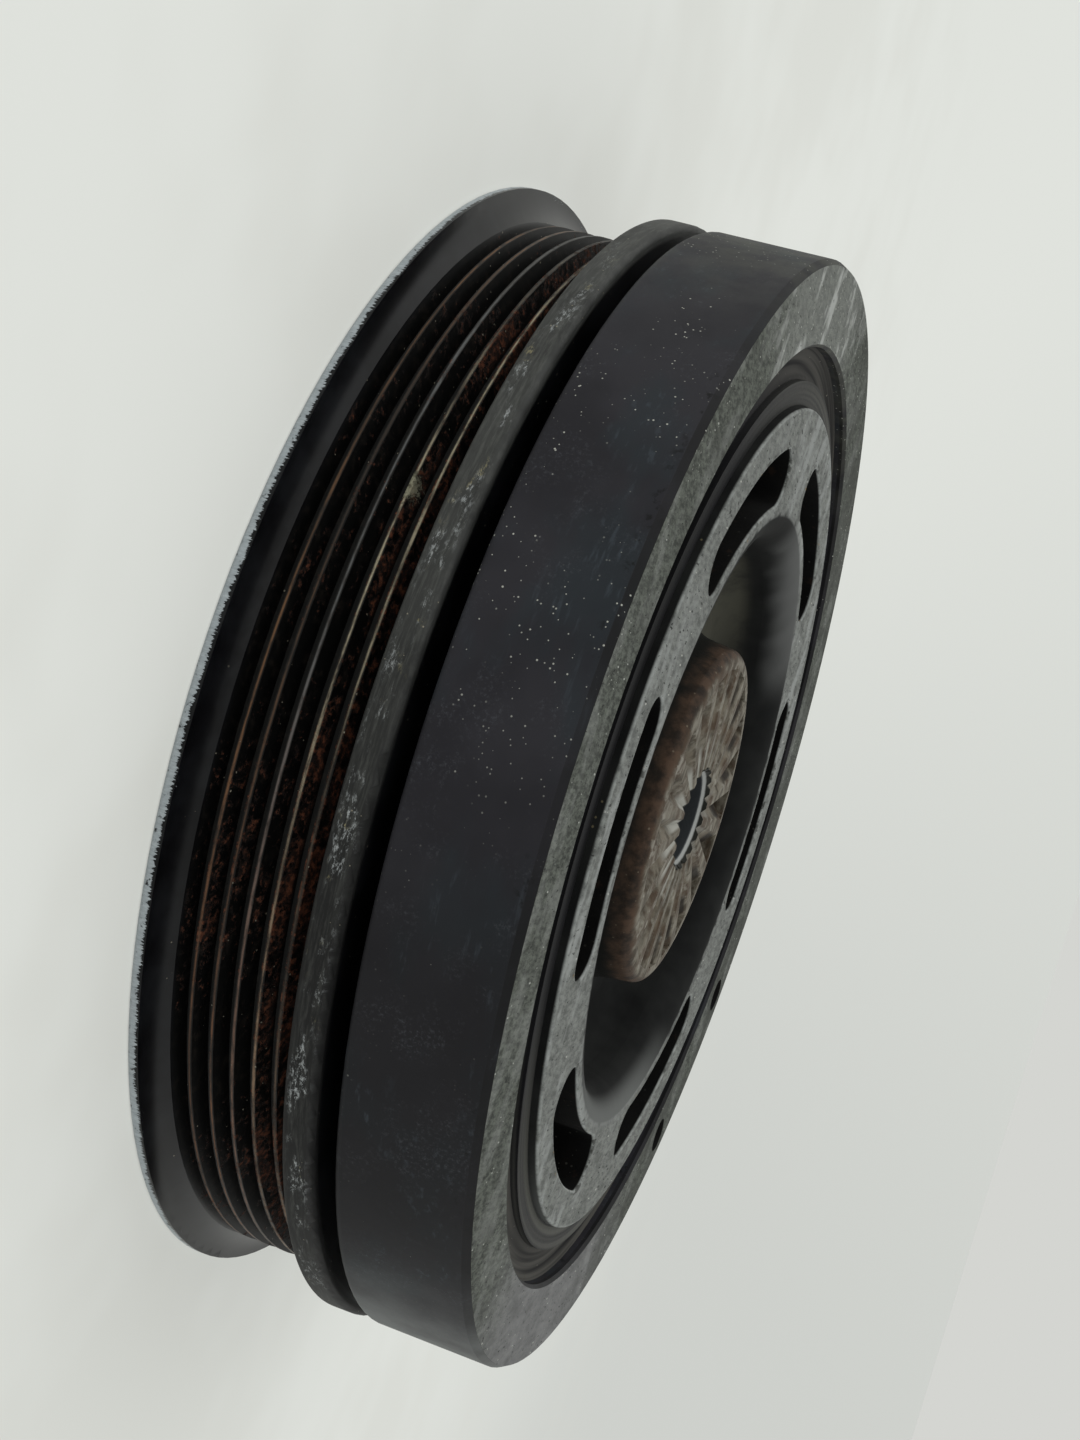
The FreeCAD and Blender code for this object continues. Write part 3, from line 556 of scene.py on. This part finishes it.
# %% Belt rim: the whole finish
def rim_finish():
    finish = Finish("rim_black_paint")
    radius, height = finish.radius, finish.z
    bare, hatch = flange_wear(finish)
    line, rust = track_wear(finish)
    paint = finish.mix(seen(10, 10, 12), seen(22, 23, 25), finish.patches(10, 0.38, 0.66))
    dirt = finish.mix(seen(4, 4, 4), seen(24, 21, 18), finish.patches(2, 0.5, 0.72, detail=6))
    in_track = finish.band(height, TRACK_START + 0.1, TRACK_END + 0.4, 0.2)
    in_track = in_track * finish.step(radius, CREST + 0.4, CREST + 0.1)
    colour = finish.mix(paint, dirt, in_track)
    flakes = finish.mix(seen(30, 17, 12), seen(106, 62, 42), finish.patches(1.0, 0.42, 0.68, detail=5))
    colour = finish.mix(colour, flakes, rust * 0.8)
    colour = finish.mix(colour, crest_colour(finish), line * 0.9)
    between = {"operation": "DISTANCE"}
    apart = finish.add("ShaderNodeVectorMath", between, [finish.place, WISP_PLACE], "Value")
    wisp = finish.noise(0.8, detail=5, rough=0.9) + 0.3 * finish.step(apart, WISP_REACH, 0)
    wisp = finish.step(wisp, 0.64, 0.74) * finish.step(apart, WISP_REACH, WISP_REACH - 1)
    colour = finish.mix(colour, seen(134, 132, 112), wisp * 0.85)
    on_bead = finish.step(height, BEAD_START - 0.2, BEAD_START + 0.4)
    on_bead = on_bead * finish.step(radius, BEAD_INSIDE, BEAD_INSIDE + 1)
    bead, scuffs = bead_colour(finish)
    colour = finish.mix(colour, bead, on_bead)
    colour = finish.mix(colour, finish.mix(seen(112, 120, 124), seen(196, 203, 206), hatch), bare)
    grains = finish.specks(1.4, 0.2, 0.3) * finish.step(height, 2.5, 4.0)
    colour = finish.mix(colour, seen(140, 134, 118), grains * 0.8)
    rough = 0.3 + 0.2 * in_track + 0.3 * on_bead + 0.3 * rust + 0.1 * bare
    metal = 0.2 * bare + 0.2 * line * (1 - rust)
    relief = finish.bump(rust * 0.8 - bare * 0.6 + grains + wisp * 3 + scuffs * on_bead * 0.4, 0.06)
    return finish.surface(base_color=colour, roughness=rough, metallic=metal, normal=relief,
                          specular_ior_level=0.2)


# %% [markdown]
# The rubber between hub and ring is old: nearly black, matt, a little chalky, with rings of dust lying
# in its hollow.

# %% Rubber
def rubber_finish():
    finish = Finish("damper_rubber_aged")
    rings = finish.noise(1.2, detail=2, where=finish.turned(80))
    colour = finish.mix(seen(12, 12, 14), seen(32, 31, 34), finish.step(rings, 0.3, 0.7))
    dusty = finish.step(finish.side(FOOT), 0.2, 0.9) | finish.step(finish.side(HEAD_FAR), 0.3, 0.9)
    colour = finish.mix(colour, seen(90, 88, 81), dusty * finish.step(rings, 0.32, 0.66) * 0.6)
    grains = finish.specks(1.5, 0.26, 0.4)
    colour = finish.mix(colour, seen(150, 146, 132), grains * 0.8)
    relief = finish.bump(rings + grains * 2, 0.05)
    return finish.surface(base_color=colour, roughness=0.8, normal=relief, specular_ior_level=0.2)


# %% [markdown]
# The finishes go onto the CAD pieces themselves: only their material slots change, never their meshes.

# %% Put the finishes on the CAD pieces
finishes = {
    "inertia_ring": ring_finish(),
    "hub": hub_finish(),
    "belt_pulley": rim_finish(),
    "damper_rubber": rubber_finish(),
}
for name, material in finishes.items():
    nodes[name].data.materials.clear()
    nodes[name].data.materials.append(material)
    print(name, "wears", material.name, "with", len(material.node_tree.nodes), "nodes")

# %% [markdown]
# The pulley stands on a pale table top. A plane that reaches well past the camera's view is enough, as
# long as it is lit evenly. It dims a little towards the foot, and faint clouds keep it from looking like
# paper. To the rays that see it directly, half of its light is its own colour, which keeps the shadow
# soft and pale without a lamp more.

# %% Floor
FLOOR_REACH = 60.0
FLOOR_LIGHT, FLOOR_DIM = seen(226, 228, 222), seen(207, 209, 204)
FLOOR_GLOW = 0.5


def seen_directly(finish):
    """1 for camera, glossy and transmission rays, 0 for the rays that light other things."""
    rays = finish.add("ShaderNodeLightPath", output="Is Camera Ray")
    return rays | rays.output("Is Glossy Ray") | rays.output("Is Transmission Ray")


def make_floor():
    mesh = bpy.data.meshes.new("floor")
    corners = FLOOR_REACH * np.array([(-1, -1, 0), (1, -1, 0), (1, 1, 0), (-1, 1, 0)])
    mesh.from_pydata(corners.tolist(), [], [(0, 1, 2, 3)])
    floor = bpy.data.objects.new("floor", mesh)
    bpy.context.scene.collection.objects.link(floor)
    finish = Finish("floor_pale")
    dim = finish.step(finish.side(FOOT), -0.45, 0.3) * finish.step(finish.radius, 150, 500)
    colour = finish.mix(FLOOR_LIGHT, FLOOR_DIM, dim)
    cloud = finish.patches(90, 0.4, 0.62, detail=3) * finish.step(finish.radius, 600, 250)
    colour = finish.mix(colour, seen(216, 217, 210), cloud * 0.5)
    finish.surface(base_color=colour, roughness=0.9, specular_ior_level=0.2)
    glow = finish.add("ShaderNodeEmission", sockets=[colour, 1.0])
    plain = Signal(finish, finish.shader.outputs[0])
    both = finish.add("ShaderNodeMixShader", sockets=[seen_directly(finish) * FLOOR_GLOW, plain, glow])
    finish.tree.links.new(both.socket, finish.tree.nodes["Material Output"].inputs["Surface"])
    mesh.materials.append(finish.material)
    return floor


floor = make_floor()
print("floor is", 2 * FLOOR_REACH, "m across")

# %% [markdown]
# Dark metal shows its surroundings more than its own colour, so the room matters. The world is an even
# pale room that gives soft light from all round. To camera, glossy and transmission rays it shows the
# floor's tone at full strength, so that the floor runs into it without a horizon and the paint reflects
# a white room. The lamps are suns with wide angles: their light doesn't fall off with distance, so the
# floor stays even, and their shadows are soft.

# %% World
ROOM_LIGHT = 0.78


def make_world():
    world = bpy.data.worlds.new("pale_room")
    bpy.context.scene.world = world
    world.use_nodes = True
    tree = world.node_tree
    lit = tree.nodes["Background"]
    lit.inputs["Color"].default_value = seen(252, 254, 255)
    lit.inputs["Strength"].default_value = ROOM_LIGHT
    shown = tree.nodes.new("ShaderNodeBackground")
    shown.inputs["Color"].default_value = seen(212, 213, 209)
    rays = tree.nodes.new("ShaderNodeLightPath")
    seen_ray = rays.outputs["Is Camera Ray"]
    for name in ("Is Glossy Ray", "Is Transmission Ray"):
        either = tree.nodes.new("ShaderNodeMath")
        either.operation = "MAXIMUM"
        tree.links.new(seen_ray, either.inputs[0])
        tree.links.new(rays.outputs[name], either.inputs[1])
        seen_ray = either.outputs[0]
    choice = tree.nodes.new("ShaderNodeMixShader")
    tree.links.new(seen_ray, choice.inputs[0])
    tree.links.new(lit.outputs[0], choice.inputs[1])
    tree.links.new(shown.outputs[0], choice.inputs[2])
    tree.links.new(choice.outputs[0], tree.nodes["World Output"].inputs["Surface"])
    return world


make_world()
print("room light:", ROOM_LIGHT)


# %% Lamps
def soft_sun(name, comes_from, angle, strength):
    """Even light from a direction; angle in degrees is how large its source looks."""
    data = bpy.data.lights.new(name, "SUN")
    data.angle = math.radians(angle)
    data.energy = strength
    light = bpy.data.objects.new(name, data)
    light.rotation_euler = Vector(comes_from).to_track_quat("Z", "Y").to_euler()
    bpy.context.scene.collection.objects.link(light)
    return light


soft_sun("ceiling", (-0.7, -0.2, 0.65), 90, 0.8)
soft_sun("bounce_at_the_foot", (0.95, -0.1, 0.4), 90, 0.25)

# %% [markdown]
# The camera was found from the picture: the pulley is full of circles on one axis, and each shows up as
# an ellipse. A camera was fitted whose view of those circles falls on the ellipses. It stands 0.37 m
# off, 10 degrees above the plane of the rear face, and is held upright against the pulley, which is why
# its right-hand direction points up the pulley's axis.

# %% Camera
CAMERA_PLACE = Vector((0, -0.3737, 0.1230))
CAMERA_RIGHT = Vector((-0.29892, 0.23971, 0.92368))
CAMERA_UP = Vector((-0.95401, -0.09818, -0.28325))
CAMERA_LENS = 53.46

camera_data = bpy.data.cameras.new("camera")
camera_data.lens = CAMERA_LENS
camera_data.sensor_width = 36
camera_data.clip_start = 0.01
camera_data.clip_end = 3 * FLOOR_REACH
camera = bpy.data.objects.new("camera", camera_data)
turn = Matrix((CAMERA_RIGHT, CAMERA_UP, CAMERA_RIGHT.cross(CAMERA_UP))).transposed().to_4x4()
camera.matrix_world = Matrix.Translation(CAMERA_PLACE) @ turn
bpy.context.scene.collection.objects.link(camera)
bpy.context.scene.camera = camera
bpy.context.scene.view_settings.view_transform = "Standard"
print("camera at", tuple(CAMERA_PLACE), "lens", CAMERA_LENS)

# %% [markdown]
